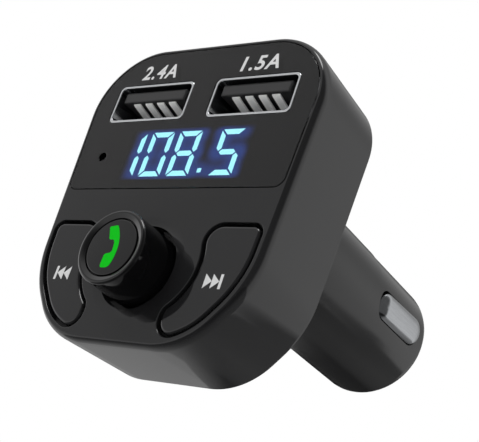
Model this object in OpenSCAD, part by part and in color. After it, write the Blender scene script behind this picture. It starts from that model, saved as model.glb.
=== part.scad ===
// Car FM transmitter: a rounded head with a display, two charging ports, a knob and
// two buttons, carried on a plug for the 12 V socket of a vehicle.
// The origin is on the plug's axis, where the plug leaves the back of the head.
// +Y runs along the plug, -Y is the side of the face and +Z is up.

/* [Head] */
// Half of the head's width at its widest, near the top
head_half_w = 20.5; // [19.8:0.1:22]
// How much less that is at the head's lower flanks
flank_in = 1.3; // [0.5:0.1:1.8]
// How far the middle of the flank's curve lies below the plug's axis
flank_drop = 12.7; // [11.5:0.1:14]
// Height of the head's top above the plug's axis
head_top = 19.3; // [18.7:0.1:21]
// Depth of the head's bottom below the plug's axis
head_bottom = 27.4; // [26.5:0.1:29]
// Depth of the head from its face to its back
head_depth = 15; // [14:0.1:18]
// Radius of the two upper corners
top_corner_r = 10.5; // [9.5:0.1:11.5]
// Radius of the flanks' curve
flank_r = 14.5; // [13:0.1:16]
// Radius of the two lower corners
bottom_corner_r = 11.5; // [10:0.1:13]
// Distance of each lower corner's centre from the flank
bottom_corner_in = 13.2; // [12:0.1:14.2]
// How much narrower each side gets from the face to the back
draft = 0.45; // [0.2:0.05:0.6]
// Radius of the edge round the face
face_round = 0.9; // [0.5:0.1:1.2]
// Radius of the edge round the back
rear_round = 0.6; // [0.3:0.1:0.8]
// Thickness of the side wall
wall = 1.6; // [1.5:0.1:2]
// Depth of the ledge on which the back plate sits
ledge = 0.5; // [0.3:0.1:0.8]
// Thickness of the face
face_t = 1.9; // [1.7:0.1:2.3]
// Thickness of the back plate
rear_t = 1.8; // [1.4:0.1:2.2]

/* [Lens] */
// Thickness of the lens panel
lens_t = 1.1; // [0.8:0.1:1.4]
// Distance of the lens's edge from the head's outline
lens_margin = 1; // [0.9:0.05:1.4]
// Depth of the lens's lower edge below the plug's axis
lens_drop = 4.6; // [4.2:0.1:5.2]
// Radius of the lens's lower corners
lens_corner_r = 1.5; // [1:0.1:2.5]
// Width of the groove round the lens
lens_groove = 0.15; // [0.08:0.01:0.25]

/* [Ports] */
// Gap between the two ports
port_gap = 4.02; // [3.6:0.02:4.6]
// Distance from a port to the head's side
port_side = 4.39; // [4:0.01:4.8]
// Height of the ports' centres above the plug's axis
port_z = 9.77; // [9.6:0.01:10.3]
// Height of a port's metal mouth
port_h = 6.36; // [6.2:0.02:6.6]
// Thickness of the port's sheet metal
port_sheet = 0.35; // [0.25:0.05:0.45]
// How far the port's mouth flares beyond the cable's hole at each end
port_flare = 0.8; // [0.6:0.05:1]
// Height of the hole that takes the cable's plug
socket_h = 5.12; // [5:0.02:5.3]
// Corner radius of the port's mouth
port_corner_r = 0.9; // [0.5:0.1:1.2]
// Depth of the port's flared mouth
mouth_d = 0.5; // [0.3:0.1:0.8]
// Gap beside the plastic tongue
tongue_gap = 0.45; // [0.3:0.05:0.8]
// Thickness of the plastic tongue
tongue_t = 1.8; // [1.6:0.1:1.9]
// Height of the tongue's underside above the port's centre
tongue_rise = 0.35; // [0.2:0.05:0.5]
// Depth of the plastic base at the back of a port
port_base_d = 1.8; // [1.2:0.1:2.5]

/* [Display] */
// Height of the lit digits
digit_h = 7.2; // [6.5:0.1:7.6]
// Gap between two lit digits
digit_gap = 1.1; // [0.8:0.05:1.3]
// Width of a digit's segments
segment_t = 0.8; // [0.6:0.05:1]
// Gap between segments
segment_gap = 0.2; // [0.1:0.01:0.25]
// Height of the digits' centre above the plug's axis
digit_z = 1.5; // [1.2:0.05:1.6]
// Distance from the display module to the head's side
display_side = 9.5; // [9:0.1:10]
// Height of the display module
display_h = 8.6; // [8.4:0.1:8.8]
// Gap between the lens and the display module
display_gap = 0.48; // [0.3:0.02:0.9]

/* [Microphone] */
// Height of the microphone's hole above the plug's axis
mic_z = 0.7; // [0.2:0.1:1.5]
// Radius of the microphone's hole
mic_hole_r = 0.7; // [0.4:0.05:0.9]
// Radius of the microphone capsule
mic_r = 1.7; // [1.4:0.1:1.8]
// Depth of the microphone capsule
mic_d = 1.6; // [1.2:0.1:2.5]

/* [Knob] */
// Depth of the knob's axis below the plug's axis
knob_drop = 16.5; // [16.2:0.1:17]
// Radius of the knob
knob_r = 5.3; // [4.9:0.1:5.5]
// How far the knob stands out of the face
knob_out = 5.85; // [4.5:0.05:7]
// Radius of the well in which the knob sits
well_r = 6.05; // [5.9:0.05:6.4]
// Depth of the well
well_d = 3; // [2.8:0.1:3.4]
// Thickness of the well's floor and wall
well_wall = 1.2; // [0.9:0.1:1.4]
// Width of the shallow dish round the well
dish_w = 1.25; // [0.8:0.05:1.5]
// Depth of that dish
dish_d = 0.2; // [0.1:0.05:0.3]
// Radius of the disc in the knob's face
cap_r = 4; // [3.7:0.02:4.3]
// Thickness of the disc
cap_t = 1; // [0.8:0.1:1.4]
// How far the knob's rim stands in front of the disc
rim_out = 0.45; // [0.3:0.05:0.6]
// Width of the bevel round the rim
knob_bevel = 0.2; // [0.1:0.05:0.3]
// How far the knob can be pushed in
knob_travel = 0.5; // [0.3:0.05:0.7]
// Radius of the encoder's shaft
shaft_r = 3; // [2.8:0.1:3.1]

/* [Buttons] */
// Distance of a button's edge from the head's outline
button_margin = 1.6; // [1.45:0.05:1.8]
// Depth of a button's upper edge below the plug's axis
button_drop = 10.17; // [9.8:0.01:10.6]
// Radius of the hollow edge next to the knob
hollow_r = 8.5; // [8.3:0.05:8.8]
// Place across of that hollow edge's centre, as a share of the flank's half width
hollow_share = 0.0885; // [0.08:0.0005:0.1]
// Radius of a button's corners
button_corner_r = 1.6; // [1.2:0.1:1.9]
// Gap between a button and the shell
button_gap = 0.45; // [0.3:0.05:0.5]
// Thickness of a button
button_t = 2.6; // [2.4:0.1:3]
// How far a button's rim reaches behind the face
button_rim = 0.8; // [0.6:0.1:0.9]
// How far a button can be pressed
button_travel = 0.5; // [0.3:0.05:0.6]
// Height of the tact switch's body
switch_h = 1.6; // [1.4:0.1:2]

/* [Plug] */
// Radius of the plug
plug_r = 10.4; // [10.2:0.05:10.5]
// Length of the plug's barrel behind the head
plug_len = 47.2; // [44:0.1:52]
// How much slimmer the plug is around its contacts
plug_relief = 0.2; // [0.16:0.01:0.3]
// Thickness of the barrel's wall
barrel_wall = 1.6; // [1.4:0.1:1.8]
// Radius of the edge round the plug's nose
nose_round = 2.5; // [0.8:0.1:3]
// Thickness of the barrel's end wall
nose_wall = 1.5; // [1.3:0.1:2]
// How far the slots for the ground contacts end before the nose's end
slot_back = 4.2; // [2:0.1:6]
// Length of the slots for the ground contacts
slot_len = 14.6; // [13:0.1:16]
// Width of the slots for the ground contacts
slot_w = 5; // [4.6:0.1:5.4]
// Width of a ground contact
ground_w = 4.2; // [3.8:0.1:4.3]
// How far a ground contact stands out of the barrel
ground_out = 0.8; // [0.5:0.1:1]
// Thickness of the ground contact's sheet
ground_sheet = 0.4; // [0.3:0.05:0.5]
// Radius of the centre contact's pin
tip_r = 3.2; // [2.8:0.1:3.4]
// How far the centre contact stands out of the nose
tip_out = 5; // [4:0.1:6]
// How far the centre contact can be pushed in
tip_travel = 2; // [1.5:0.1:2.4]
// Radius of the bush that guides the centre contact
bush_r = 5; // [4.7:0.1:5.2]
// Length of the bush
bush_len = 4.5; // [4:0.1:5.5]

/* [Boards] */
// Thickness of the boards
board_t = 1.2; // [1:0.1:1.6]
// Gap between the main board and the back plate
board_gap = 1.5; // [1.3:0.1:1.8]
// Gap between the power board and the leaves of the ground contacts
leaf_gap = 0.44; // [0.3:0.02:0.8]
// Radius of the screws
screw_r = 0.9; // [0.7:0.05:1]
// Radius of the screws' heads
screw_head_r = 1.7; // [1.4:0.1:1.9]
// Height of the screws' heads
screw_head_h = 1; // [0.8:0.1:1.2]
// Radius of the screw bosses
boss_r = 1.9; // [1.7:0.1:2]

/* [Hidden] */
$fn = 72;

// One overrun for every cut
over = 1;
// Clearance between parts that are fitted and don't move
fit = 0.1;
// Clearance of a shaft or pin that runs in a bore
running = 0.05;
// Clearance between moving parts that don't touch
clear = 0.3;

// Places along Y, counted from the plug's shoulder
face_y = -head_depth;
lens_back_y = face_y + lens_t;
web_y = face_y + face_t;
plate_y = -rear_t;
board_back_y = plate_y - board_gap;
board_y = board_back_y - board_t;
port_d = board_y - face_y;

// Outer corner circles of the head, each as place across, height and radius
flank_half_w = head_half_w - flank_in;
side_corners = [
    [flank_half_w - bottom_corner_in, bottom_corner_r - head_bottom, bottom_corner_r],
    [flank_half_w - flank_r, -flank_drop, flank_r],
    [head_half_w - top_corner_r, head_top - top_corner_r, top_corner_r]];
head_corners = concat(side_corners, mirrored(side_corners));

function mirrored(corners) =
    [for (i = [len(corners) - 1 : -1 : 0]) [-corners[i][0], corners[i][1], corners[i][2]]];

// Direction of the outer tangent's normal from circle a to circle b, going anticlockwise
function normal_angle(a, b) = atan2(b[1] - a[1], b[0] - a[0])
    - acos((a[2] - b[2]) / norm([b[0] - a[0], b[1] - a[1]]));
function on_circle(c, r, angle) = [c[0] + r * cos(angle), c[1] + r * sin(angle)];
function tangent_pair(a, b, inset) = [
    on_circle(a, a[2] - inset, normal_angle(a, b)),
    on_circle(b, b[2] - inset, normal_angle(a, b))];

// Place across of the head's side at height z, moved in by inset
function side_x(z, inset) = let (a = side_corners[1], b = side_corners[2], t = normal_angle(a, b))
    (b[0] * cos(t) + b[1] * sin(t) + b[2] - inset - z * sin(t)) / cos(t);

// Flat outline that touches all the corner circles, with true arcs
module corner_outline(corners, inset = 0) {
    n = len(corners);
    polygon([for (i = [0 : n - 1]) each tangent_pair(corners[i], corners[(i + 1) % n], inset)]);
    for (c = corners)
        translate([c[0], c[1]]) circle(c[2] - inset);
}

// A flat outline in X and Z made solid from depth y over the thickness t
module slab(y, t) {
    translate([0, y + t, 0]) rotate([90, 0, 0]) linear_extrude(t) children();
}

// A cylinder along Y
module rod(r, y, len) {
    translate([0, y, 0]) rotate([-90, 0, 0]) cylinder(r = r, h = len);
}

// A flat profile of radius and place along Y, turned about the Y axis
module turned() {
    rotate([-90, 0, 0]) rotate_extrude() children();
}

// A box that is centred across and in height, and starts at depth y
module bar(w, h, y, len) {
    translate([-w / 2, y, -h / 2]) cube([w, len, h]);
}

module both_sides() {
    for (side = [0, 1]) mirror([side, 0, 0]) children();
}

// The flat rectangle of a port, with rounded corners
module port_outline(w, h, r) {
    square([w - 2 * r, h], center = true);
    square([w, h - 2 * r], center = true);
    for (sx = [-1, 1], sz = [-1, 1])
        translate([sx * (w / 2 - r), sz * (h / 2 - r)]) circle(r);
}

// The solid form of the head, with its draft and rounded edges
module head_form() {
    steps = 4;
    front = [for (i = [0 : steps]) let (a = 90 * i / steps)
        [-face_round * (1 - sin(a)), face_y + face_round * (1 - cos(a))]];
    back = [for (i = [0 : steps]) let (a = 90 * i / steps)
        [-draft - rear_round * (1 - cos(a)), -rear_round * (1 - sin(a))]];
    hull() for (c = head_corners)
        translate([c[0], 0, c[1]]) rotate([-90, 0, 0]) rotate_extrude($fn = 48)
            polygon(concat([[0, face_y]], [for (p = concat(front, back)) [c[2] + p[0], p[1]]], [[0, 0]]));
}

// Corner circles of the lens panel, which follows the head's outline
lens_corner_z = lens_corner_r - lens_drop;
lens_side = [
    [side_x(lens_corner_z, lens_margin + lens_corner_r), lens_corner_z, lens_corner_r],
    [side_corners[2][0], side_corners[2][1], top_corner_r - lens_margin]];
lens_corners = concat(lens_side, mirrored(lens_side));

// Places and sizes across the head, which follow its width
port_w = head_half_w - port_side - port_gap / 2;
port_x = (port_gap + port_w) / 2;
socket_w = port_w - 2 * port_flare;
tongue_w = socket_w - 2 * tongue_gap;
display_w = 2 * (head_half_w - display_side);
mic_x = (display_w / 2 + side_x(mic_z, wall + ledge)) / 2;

// The knob's well and what lies behind it
well_back_y = face_y + well_d + well_wall;
knob_face_y = face_y - knob_out;
disc_y = knob_face_y + rim_out;
knob_back_y = face_y + well_d - knob_travel - clear;

// Bosses for the main board's screws: two by the flanks and one at the top
boss_side = 4.2;
boss_x = flank_half_w - boss_side;
boss_z = -6.8;
boss_top_z = head_top - wall - ledge - screw_head_r - clear;
boss_places = [[0, boss_top_z], [boss_x, boss_z], [-boss_x, boss_z]];
pilot_d = 6;
web_overlap = (face_t - lens_t) / 2;

// Snap tabs that hold the back plate in the shell
tab_w = 4;
tab_t = 1;
tab_len = 4.5;
tab_x = 8.5;
hook_out = 0.4;
hook_len = 1;
hook_y = plate_y - tab_len + fit;
tab_inset = wall + ledge + fit;

// The boxes that the snap tabs lie in: two flanks, two at the top, one at the bottom
module tab_zones(w, y, len) {
    both_sides() {
        translate([head_half_w / 2, y, -w / 2]) cube([head_half_w, len, w]);
        translate([tab_x - w / 2, y, 0]) cube([w, len, head_top]);
    }
    translate([-w / 2, y, -head_bottom]) cube([w, len, head_bottom / 4]);
}

// A ring that follows the head's inside, cut down to the snap tabs
module tab_ring(inset, t, w, y, len) {
    intersection() {
        difference() {
            slab(y, len) corner_outline(head_corners, inset);
            slab(y - over, len + 2 * over) corner_outline(head_corners, inset + t);
        }
        tab_zones(w, y, len);
    }
}

// Outline of the next button, grown by a gap or a rim
button_x_share = 0.36;
button_x = flank_half_w * button_x_share;
hollow_x = flank_half_w * hollow_share;
hollow_rise = 1;
module button_outline(grow) {
    $fn = 48;
    offset(r = grow) offset(r = button_corner_r) offset(delta = -button_corner_r) difference() {
        intersection() {
            corner_outline(head_corners, button_margin);
            translate([button_x, -button_drop - head_bottom]) square([head_half_w, head_bottom]);
        }
        translate([hollow_x, hollow_rise - knob_drop]) circle(hollow_r);
    }
}

module front_shell() {
    window_w = display_w + 2 * fit;
    window_h = display_h + 2 * fit;
    color("#2c2c2e") difference() {
        union() {
            difference() {
                head_form();
                slab(web_y, over - web_y) corner_outline(head_corners, wall + ledge);
                slab(plate_y, rear_t + over) corner_outline(head_corners, wall);
            }
            translate([0, 0, -knob_drop]) rod(well_r + well_wall, web_y - lens_t / 2,
                well_back_y - web_y + lens_t / 2);
            for (p = boss_places)
                translate([p[0], 0, p[1]]) rod(boss_r, web_y - web_overlap, board_y - web_y + web_overlap);
        }
        slab(face_y - over, lens_t + over) corner_outline(lens_corners, -lens_groove);
        both_sides() {
            translate([port_x, 0, port_z]) slab(face_y - over, face_t + 2 * over)
                port_outline(port_w + 2 * fit, port_h + 2 * fit, port_corner_r + fit);
            slab(face_y - over, face_t + over) button_outline(button_gap);
        }
        translate([0, 0, digit_z]) bar(window_w, window_h, face_y - over, face_t + 2 * over);
        translate([-mic_x, 0, mic_z]) rod(mic_hole_r, face_y - over, face_t + 2 * over);
        translate([0, 0, -knob_drop]) {
            turned() polygon([[0, face_y - over], [well_r + dish_w, face_y - over],
                [well_r + dish_w, face_y], [well_r, face_y + dish_d], [0, face_y + dish_d]]);
            rod(well_r, face_y - over, well_d + over);
            rod(shaft_r + clear, face_y - over, head_depth);
        }
        for (p = boss_places)
            translate([p[0], 0, p[1]]) rod(screw_r, board_y - pilot_d, pilot_d + over);
        tab_ring(tab_inset - hook_out - 2 * fit, hook_out + over, tab_w + 2 * clear,
            hook_y - fit, hook_len + 2 * fit);
    }
}
module display_lens() {
    color("#1b1b1d") difference() {
        slab(face_y, lens_t) corner_outline(lens_corners);
        both_sides() translate([port_x, 0, port_z]) slab(face_y - over, lens_t + 2 * over)
            port_outline(port_w + 2 * fit, port_h + 2 * fit, port_corner_r + fit);
        translate([-mic_x, 0, mic_z]) rod(mic_hole_r, face_y - over, lens_t + 2 * over);
    }
}

// Places along the plug and inside its barrel
bore_r = plug_r - barrel_wall;
boss_wall = 1;
bush_y = plug_len - bush_len;
slot_end_y = plug_len - slot_back;
slot_y = slot_end_y - slot_len;
slot_in_x = bore_r - barrel_wall / 2;

// A flat racetrack of a length along Y and a width in height, made solid along +X
module racetrack(len, w, y, x, t) {
    translate([x, y + w / 2, 0]) rotate([0, 90, 0]) {
        for (d = [0, len - w]) translate([0, d, 0]) cylinder(r = w / 2, h = t);
        translate([-w / 2, 0, 0]) cube([w, len - w, t]);
    }
}

// Rails in the barrel that carry the power board's edges, up to the ground contacts' feet
rail_in = 0.6;
rail_t = 0.8;
rail_gap = 4.4;

module rear_housing() {
    root = -rear_t / 2;
    shank_end_y = slot_y - clear;
    slim_r = plug_r - plug_relief;
    shank = [[0, root], [plug_r, root], [plug_r, shank_end_y], [slim_r, shank_end_y + plug_relief]];
    steps = 6;
    nose = [for (i = [0 : steps]) let (a = 90 * i / steps)
        [slim_r - nose_round * (1 - cos(a)), plug_len - nose_round * (1 - sin(a))]];
    color("#29292b") difference() {
        union() {
            difference() {
                union() {
                    slab(plate_y, rear_t) corner_outline(head_corners, wall + fit);
                    turned() polygon(concat(shank, nose, [[0, plug_len]]));
                }
                rod(bore_r, plate_y - over, slot_end_y - plate_y + over);
            }
            rod(bush_r + boss_wall, bush_y, bush_len - nose_wall / 2);
            both_sides() for (side = [-1, 1])
                translate([power_half_w - rail_in, 0, side * (board_t / 2 + fit + rail_t / 2) - rail_t / 2])
                    cube([bore_r - power_half_w + rail_in, root_y - foot_len - rail_gap, rail_t]);
            tab_ring(tab_inset, tab_t, tab_w, plate_y - tab_len, tab_len + rear_t / 2);
            tab_ring(tab_inset - hook_out, hook_out + tab_t, tab_w, hook_y, hook_len);
        }
        rod(bush_r, bush_y - over, bush_len + 2 * over);
        both_sides() racetrack(slot_len, slot_w, slot_y, slot_in_x, plug_r);
    }
}

// Bush in the nose that guides the centre contact
bush_proud = 0.4;
module nose_ring() {
    color("#d8c28a") difference() {
        rod(bush_r - running, bush_y, bush_len + bush_proud);
        rod(tip_r + running, bush_y - over, bush_len + bush_proud + 2 * over);
    }
}

// Centre contact: a pin with a rounded end and a flange that stops behind the bush
flange_t = 1;
flange_r = bush_r - clear;
flange_y = bush_y - fit - flange_t;
tip_end_y = plug_len + tip_out;
module tip_contact() {
    tip_round = tip_r / 2;
    steps = 6;
    nose = [for (i = [0 : steps]) let (a = 90 * i / steps)
        [tip_r - tip_round * (1 - cos(a)), tip_end_y - tip_round * (1 - sin(a))]];
    color("#cfcfc8") turned() polygon(concat(
        [[0, flange_y], [flange_r, flange_y],
            [flange_r, flange_y + flange_t], [tip_r, flange_y + flange_t]],
        nose, [[0, tip_end_y]]));
}

// Coil spring that still has some play when the centre contact is all the way in
wire_r = 0.3;
spring_turns = 6;
spring_spare = 4.8;
coil_r = flange_r - wire_r - clear;
spring_y = flange_y - tip_travel - spring_turns * 2 * wire_r - spring_spare;

// Cup on the end of the power board that seats the spring
cup_t = 0.5;
cup_rim = 1.2;
power_y = board_back_y + clear;
power_end_y = spring_y - cup_t;
module spring_cup() {
    color("#c9a24b") difference() {
        rod(coil_r + wire_r + fit + cup_t, power_end_y, cup_t + cup_rim);
        rod(coil_r + wire_r + fit, spring_y, cup_rim + over);
    }
}

module tip_spring() {
    rings = spring_turns * 14;
    sides = 6;
    rise = flange_y - spring_y - 2 * wire_r;
    points = [for (i = [0 : rings])
        let (a = 360 * spring_turns * i / rings, y = spring_y + wire_r + rise * i / rings)
        for (j = [0 : sides - 1]) let (b = 360 * j / sides, r = coil_r + wire_r * cos(b))
            [r * cos(a), y + wire_r * sin(b), r * sin(a)]];
    walls = [for (i = [0 : rings - 1]) for (j = [0 : sides - 1])
        let (a = i * sides + j, b = i * sides + (j + 1) % sides) each
            [[a, b, a + sides], [b, b + sides, a + sides]]];
    ends = [for (j = [1 : sides - 2]) each
        [[0, j + 1, j], [rings * sides, rings * sides + j, rings * sides + j + 1]]];
    color("#b9bcc0") polyhedron(points, concat(walls, ends));
}

// Ground contact: a stamped, bulged pad on a leaf whose foot is soldered to the power board.
// It swings about the leaf's root, so its face rises with the distance from there.
pad_back = 2.5;
pad_len = slot_len - pad_back - clear;
pad_y = slot_y + pad_back;
pad_bevel = 0.9;
lip_w = 0.7;
lip_x = sqrt(pow(bore_r, 2) - pow(ground_w / 2 + lip_w, 2)) - clear - ground_sheet;
leaf_w = 3;
foot_len = 3;
foot_in = 1.6;
leaf_len = 4;
root_y = slot_y - leaf_len;
pad_end_y = pad_y + pad_len - ground_w / 2;
power_half_w = lip_x - leaf_gap;
function pad_x(y) = plug_r + ground_out * (y - root_y) / (pad_end_y - root_y);
module pad_form(inset) {
    hull() for (y = [pad_y + ground_w / 2, pad_end_y]) {
        translate([lip_x - 2 * inset, y, 0]) rotate([0, 90, 0])
            cylinder(r = ground_w / 2 - inset, h = pad_x(y) - pad_bevel - lip_x + inset, $fn = 32);
        translate([lip_x, y, 0]) rotate([0, 90, 0])
            cylinder(r = ground_w / 2 - pad_bevel - inset / 2, h = pad_x(y) - lip_x - inset, $fn = 32);
    }
}
module ground_contact_right() {
    color("#c4c6c8") {
        difference() {
            union() {
                pad_form(0);
                racetrack(pad_len + lip_w, ground_w + 2 * lip_w, pad_y - lip_w, lip_x, ground_sheet);
            }
            pad_form(ground_sheet);
        }
        translate([lip_x, root_y - foot_len, -leaf_w / 2])
            cube([ground_sheet, pad_y - lip_w / 2 - root_y + foot_len, leaf_w]);
        translate([power_half_w - foot_in, root_y - foot_len, board_t / 2 + fit])
            cube([lip_x + ground_sheet - power_half_w + foot_in, foot_len, ground_sheet]);
    }
}
module ground_contact_left() {
    mirror([1, 0, 0]) ground_contact_right();
}

// Metal shell of a port: a flared mouth, a shoulder and a tube with legs through the board
leg_w = 1.6;
leg_z_share = 0.25;
tail = 0.8;
port_lip = port_flare - port_sheet;
hole_corner_r = port_corner_r - port_lip / 2;
module usb_shell_right() {
    tube_w = socket_w + 2 * port_sheet;
    tube_h = socket_h + 2 * port_sheet;
    mouth_h = port_h - 2 * port_lip;
    translate([port_x, 0, port_z]) color("#d3d5d7") {
        difference() {
            union() {
                slab(face_y, mouth_d + port_sheet) port_outline(port_w, port_h, port_corner_r);
                slab(face_y + mouth_d, port_d - mouth_d) port_outline(tube_w, tube_h, port_corner_r);
            }
            slab(face_y - over, mouth_d + over) port_outline(tube_w, mouth_h, hole_corner_r);
            slab(face_y - over, port_d + 2 * over) port_outline(socket_w, socket_h, hole_corner_r);
        }
        both_sides() for (side = [-1, 1])
            translate([socket_w / 2, board_y - leg_w, side * socket_h * leg_z_share - leg_w / 2])
                cube([port_sheet, leg_w + board_t + tail, leg_w]);
    }
}
module usb_shell_left() {
    mirror([1, 0, 0]) usb_shell_right();
}

// Contact strips under the tongue, placed by shares of its width
contact_shares = [-0.302, -0.086, 0.086, 0.302];
contact_w = 1;
contact_t = 0.25;
contact_in = 0.6;
tongue_in = 0.25;
module contact_strips(grow) {
    for (s = contact_shares)
        translate([s * tongue_w, 0, tongue_rise - contact_t / 2])
            bar(contact_w + 2 * grow, contact_t + 2 * grow, face_y + tongue_in + contact_in - grow,
                port_d - tongue_in - contact_in + board_t + tail + 2 * grow);
}
module usb_contacts_right() {
    translate([port_x, 0, port_z]) color("#d9c98f") contact_strips(0);
}
module usb_contacts_left() {
    translate([-port_x, 0, port_z]) color("#d9c98f") contact_strips(0);
}

// Plastic tongue and base inside a port
module usb_tongue_right() {
    translate([port_x, 0, port_z]) color("#3a3a3c") difference() {
        union() {
            translate([0, 0, tongue_rise + tongue_t / 2])
                bar(tongue_w, tongue_t, face_y + tongue_in, port_d - tongue_in - port_base_d / 2);
            slab(board_y - port_base_d, port_base_d)
                port_outline(socket_w - 2 * fit, socket_h - 2 * fit, hole_corner_r);
        }
        contact_strips(fit / 4);
    }
}
module usb_tongue_left() {
    mirror([1, 0, 0]) usb_tongue_right();
}

// Seven-segment digits: each segment is a flat shape in a box of digit_w by digit_h
digit_place_shares = [-2.05, -1.05, -0.05, 1.415];
digit_segments = ["bc", "abcdef", "abcdefg", "acdfg"];
digits_margin = 0.9;
digit_pitch = (display_w - 2 * digits_margin) / len(digit_segments);
digit_w = digit_pitch - digit_gap;
dot_place_share = 0.685;
dot_size_share = 0.8;
segment_d = 0.4;
module_y = lens_back_y + display_gap;

module end_segment() {
    w = digit_w / 2 - segment_gap;
    h = digit_h / 2;
    polygon([[-w, h], [w, h], [w - segment_t, h - segment_t], [segment_t - w, h - segment_t]]);
}
module middle_segment() {
    w = digit_w / 2 - segment_gap;
    t = segment_t / 2;
    polygon([[t - w, 0], [2 * t - w, t], [w - 2 * t, t], [w - t, 0], [w - 2 * t, -t], [2 * t - w, -t]]);
}
module side_segment() {
    w = digit_w / 2;
    h = digit_h / 2 - segment_gap;
    t = segment_t;
    polygon([[w, h], [w, segment_gap + t / 2], [w - t / 2, segment_gap], [w - t, segment_gap + t / 2],
        [w - t, h - t]]);
}
module segment(name) {
    if (name == "a") end_segment();
    if (name == "b") side_segment();
    if (name == "c") mirror([0, 1]) side_segment();
    if (name == "d") mirror([0, 1]) end_segment();
    if (name == "e") mirror([1, 0]) mirror([0, 1]) side_segment();
    if (name == "f") mirror([1, 0]) side_segment();
    if (name == "g") middle_segment();
}
module digits() {
    for (i = [0 : len(digit_segments) - 1])
        translate([digit_place_shares[i] * digit_pitch, digit_z])
            for (name = digit_segments[i]) segment(name);
    translate([dot_place_share * digit_pitch, digit_z + segment_t - digit_h / 2])
        square(segment_t * dot_size_share, center = true);
}
module display_digits() {
    color("#a6f2ff") slab(module_y, segment_d) digits();
}
module display_module() {
    color("#232326") difference() {
        translate([0, 0, digit_z]) bar(display_w, display_h, module_y, board_y - module_y);
        slab(module_y - over, segment_d + over) digits();
    }
}

// Microphone capsule behind its hole, held by a rubber boot that stands on the board
boot_wall = 0.4;
module microphone() {
    color("#b4b6b8") translate([-mic_x, 0, mic_z]) rod(mic_r, web_y, mic_d);
}
module microphone_boot() {
    color("#1e1e20") translate([-mic_x, 0, mic_z]) difference() {
        rod(mic_r + boot_wall, web_y, board_y - web_y);
        rod(mic_r, web_y - over, mic_d + over);
        rod(mic_r - boot_wall, web_y, board_y - web_y + over);
    }
}

// Main board, parallel to the face, with room for the snap tabs
module main_board() {
    color("#1f5a38") difference() {
        slab(board_y, board_t) corner_outline(head_corners, wall + ledge + clear);
        difference() {
            tab_zones(tab_w + 2 * clear, board_y - over, board_t + 2 * over);
            slab(board_y - 2 * over, board_t + 4 * over)
                corner_outline(head_corners, tab_inset + tab_t + clear);
        }
        for (p = boss_places)
            translate([p[0], 0, p[1]]) rod(screw_r + fit, board_y - over, board_t + 2 * over);
        both_sides() translate([port_x, 0, port_z]) {
            both_sides() for (side = [-1, 1])
                translate([socket_w / 2 - fit, board_y - over,
                    side * socket_h * leg_z_share - leg_w / 2 - fit])
                    cube([port_sheet + 2 * fit, board_t + 2 * over, leg_w + 2 * fit]);
            contact_strips(fit);
        }
        header_pins(fit);
    }
}

// Power board along the barrel, joined to the main board by a right-angled header
module power_board() {
    color("#1f5a38") translate([-power_half_w, power_y, -board_t / 2])
        cube([2 * power_half_w, power_end_y - power_y, board_t]);
}
pin_w = 0.6;
pin_pitch = 2.5;
pin_count = 4;
header_h = 2.5;
header_len = 2.2;
module header_pins(grow) {
    for (i = [0 : pin_count - 1])
        translate([(i - (pin_count - 1) / 2) * pin_pitch, 0, board_t / 2 + header_h / 2])
            bar(pin_w + 2 * grow, pin_w + 2 * grow, board_y - grow, board_t + header_len / 2 + grow);
}
module board_header() {
    color("#d9c98f") header_pins(0);
    color("#202022") translate([0, 0, (board_t + header_h) / 2])
        bar(pin_count * pin_pitch, header_h, board_back_y, header_len);
}

// Rotary encoder: body, metal bracket with its bushing, shaft and push plunger
encoder_w = 11.7;
encoder_h = 12;
encoder_sheet = 0.5;
encoder_gap = 1.3;
encoder_y = well_back_y + encoder_gap + encoder_sheet;
encoder_d = board_y - encoder_y;
bushing_t = 0.6;
shaft_y = disc_y + cap_t + encoder_sheet;
shaft_in_share = 1 / 3;
shaft_in = encoder_d * shaft_in_share;
shaft_end_y = encoder_y + shaft_in;
shaft_flat = shaft_r / 2;
plunger_r = 1.6;
plunger_share = 0.311;
plunger_len = encoder_d * plunger_share;

module encoder_body() {
    plunger_end_y = shaft_end_y + plunger_len;
    color("#26272a") translate([0, 0, -knob_drop]) difference() {
        bar(encoder_w, encoder_h, encoder_y, encoder_d);
        rod(shaft_r + clear, encoder_y - over, shaft_in + knob_travel + clear + over);
        rod(plunger_r + running, encoder_y, plunger_end_y + knob_travel + clear / 2 - encoder_y);
    }
}
module encoder_bracket() {
    leg_h = 3;
    color("#c2c4c6") translate([0, 0, -knob_drop]) {
        difference() {
            union() {
                bar(encoder_w, encoder_h, encoder_y - encoder_sheet, encoder_sheet);
                rod(shaft_r + bushing_t, well_back_y + fit, encoder_y - well_back_y - fit);
            }
            rod(shaft_r + running, well_back_y - over, head_depth);
        }
        both_sides() translate([encoder_w / 2, encoder_y - encoder_sheet, -leg_h / 2])
            cube([encoder_sheet, encoder_d + encoder_sheet, leg_h]);
    }
}
module encoder_plunger() {
    color("#d8d8d4") translate([0, 0, -knob_drop]) rod(plunger_r, shaft_end_y, plunger_len);
}
module shaft_form(grow) {
    difference() {
        rod(shaft_r + grow, shaft_y - grow, shaft_end_y - shaft_y + grow);
        translate([-shaft_r - over, shaft_y - over, shaft_flat + grow])
            cube([2 * (shaft_r + over), knob_back_y - shaft_y + over - clear, shaft_r]);
    }
}
module encoder_shaft() {
    color("#c8cacc") translate([0, 0, -knob_drop]) shaft_form(0);
}

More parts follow.
